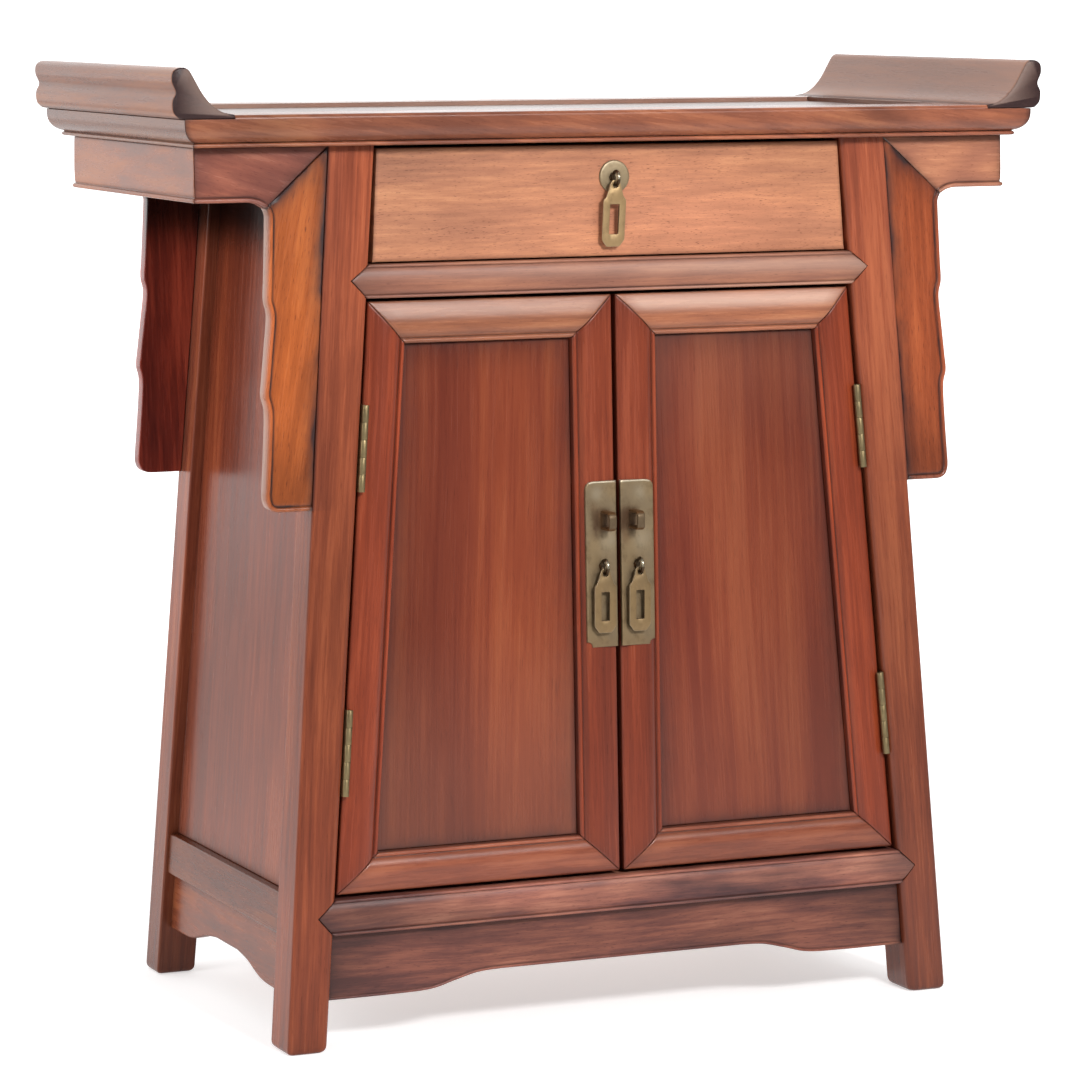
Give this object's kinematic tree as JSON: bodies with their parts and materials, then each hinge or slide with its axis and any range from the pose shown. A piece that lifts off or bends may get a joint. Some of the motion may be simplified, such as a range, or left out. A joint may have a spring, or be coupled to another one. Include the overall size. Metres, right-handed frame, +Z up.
{
  "type": "altar cabinet",
  "caption": "Splay-legged altar cabinet in red hardwood with everted ends, shaped spandrels, a drawer, framed doors on brass butt hinges, lock plates and hanging brass pulls.",
  "frame": {"origin": "on the floor, at the centre of the footprint", "axes": "+Z up, +X to the right seen from the front, +Y to the back"},
  "size_m": [0.8316, 0.3899, 0.85],
  "materials": {
    "frame_wood": "polished red-brown hardwood with fine dark streaks",
    "panel_wood": "polished dark red-brown hardwood, straight grain",
    "top_wood": "polished red-brown hardwood with figure",
    "drawer_wood": "polished lighter orange-brown hardwood",
    "spandrel_wood": "polished orange-brown hardwood with dark edges",
    "inner_wood": "plain unpolished secondary wood",
    "brass": "aged satin brass with patina"
  },
  "bodies": {
    "carcass": {"top_panel": "top_wood", "top_frame_front": "top_wood", "top_frame_back": "top_wood", "top_frame_left": "top_wood", "top_frame_right": "top_wood", "flange_left": "top_wood", "flange_right": "top_wood", "post_front_left": "frame_wood", "post_front_right": "frame_wood", "post_back_left": "frame_wood", "post_back_right": "frame_wood", "drawer_rail": "frame_wood", "bottom_rail": "frame_wood", "back_rail": "frame_wood", "bottom_apron": "frame_wood", "side_rail_left": "frame_wood", "side_rail_right": "frame_wood", "side_panel_left": "panel_wood", "side_panel_right": "panel_wood", "back_panel": "panel_wood", "floor_panel": "inner_wood", "drawer_runner_left": "inner_wood", "drawer_runner_right": "inner_wood", "apron_front_left": "spandrel_wood", "apron_front_right": "spandrel_wood", "spandrel_front_left": "spandrel_wood", "spandrel_front_right": "spandrel_wood", "spandrel_back_left": "spandrel_wood", "spandrel_back_right": "spandrel_wood", "end_apron_left": "spandrel_wood", "end_apron_right": "spandrel_wood", "hinge_left_upper_frame_leaf": "brass", "hinge_left_lower_frame_leaf": "brass", "hinge_right_upper_frame_leaf": "brass", "hinge_right_lower_frame_leaf": "brass"},
    "drawer": {"drawer_front": "drawer_wood", "drawer_side_left": "inner_wood", "drawer_side_right": "inner_wood", "drawer_back": "inner_wood", "drawer_bottom": "inner_wood", "drawer_pull_plate": "brass"},
    "drawer_pull": {"drawer_pull_drop": "brass"},
    "left_door": {"left_door_hinge_stile": "frame_wood", "left_door_meeting_stile": "frame_wood", "left_door_top_rail": "frame_wood", "left_door_bottom_rail": "frame_wood", "left_door_panel": "panel_wood", "left_lock_plate": "brass", "hinge_left_upper_door_leaf": "brass", "hinge_left_lower_door_leaf": "brass"},
    "left_pull": {"left_pull_drop": "brass"},
    "right_door": {"right_door_hinge_stile": "frame_wood", "right_door_meeting_stile": "frame_wood", "right_door_top_rail": "frame_wood", "right_door_bottom_rail": "frame_wood", "right_door_panel": "panel_wood", "right_lock_plate": "brass", "hinge_right_upper_door_leaf": "brass", "hinge_right_lower_door_leaf": "brass"},
    "right_pull": {"right_pull_drop": "brass"}
  },
  "joints": [
    {"name": "drawer_slide", "type": "slide", "parent": "carcass", "child": "drawer", "axis": [0, -1, 0], "range_m": [0, 0.22]},
    {"name": "left_door_hinge", "type": "hinge", "parent": "carcass", "child": "left_door", "pos_m": [-0.25129, -0.17941, 0.39], "axis": [-0.0785, -0.04, -0.9961], "range_deg": [0, 105]},
    {"name": "right_door_hinge", "type": "hinge", "parent": "carcass", "child": "right_door", "pos_m": [0.25129, -0.17941, 0.39], "axis": [-0.0785, 0.04, 0.9961], "range_deg": [0, 105]},
    {"name": "drawer_pull_swing", "type": "hinge", "parent": "drawer", "child": "drawer_pull", "pos_m": [0, -0.17229, 0.75], "axis": [-1, 0, 0], "range_deg": [-3, 120]},
    {"name": "left_pull_swing", "type": "hinge", "parent": "left_door", "child": "left_pull", "pos_m": [-0.0169, -0.18489, 0.409], "axis": [-1, 0, 0], "range_deg": [-3, 120]},
    {"name": "right_pull_swing", "type": "hinge", "parent": "right_door", "child": "right_pull", "pos_m": [0.0169, -0.18489, 0.409], "axis": [-1, 0, 0], "range_deg": [-3, 120]}
  ]
}
